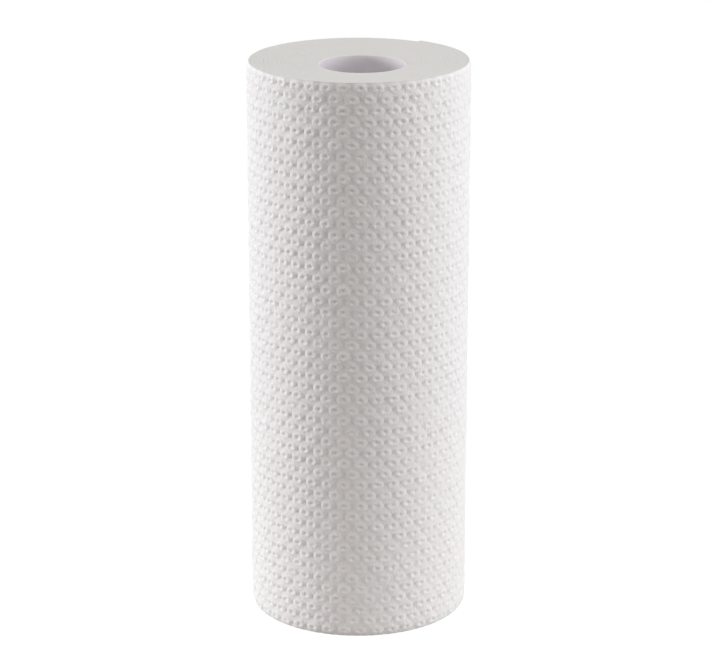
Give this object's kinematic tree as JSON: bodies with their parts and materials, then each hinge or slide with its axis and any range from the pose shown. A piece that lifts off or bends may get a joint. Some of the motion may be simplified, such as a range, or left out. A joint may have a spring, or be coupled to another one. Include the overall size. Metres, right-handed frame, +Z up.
{
  "type": "reusable cleaning wipe roll",
  "caption": "Roll of embossed reusable cleaning cloth wound on a paperboard tube, perforated into square sheets; stands on its end or slides onto a holder's rod.",
  "frame": {"origin": "centre of the tube's axis on the surface that the roll stands on", "axes": "+Z up along the tube's axis; -Y is the front, and the web's loose end lies at the back, 145 degrees round from the front"},
  "size_m": [0.1091, 0.1077, 0.2794],
  "materials": {
    "cloth": "matt off-white nonwoven cloth with a staggered pattern of small raised rings",
    "core": "matt off-white spiral-wound paperboard"
  },
  "bodies": {
    "root": {"wound_wipes": "cloth", "core_tube": "core"}
  },
  "joints": []
}
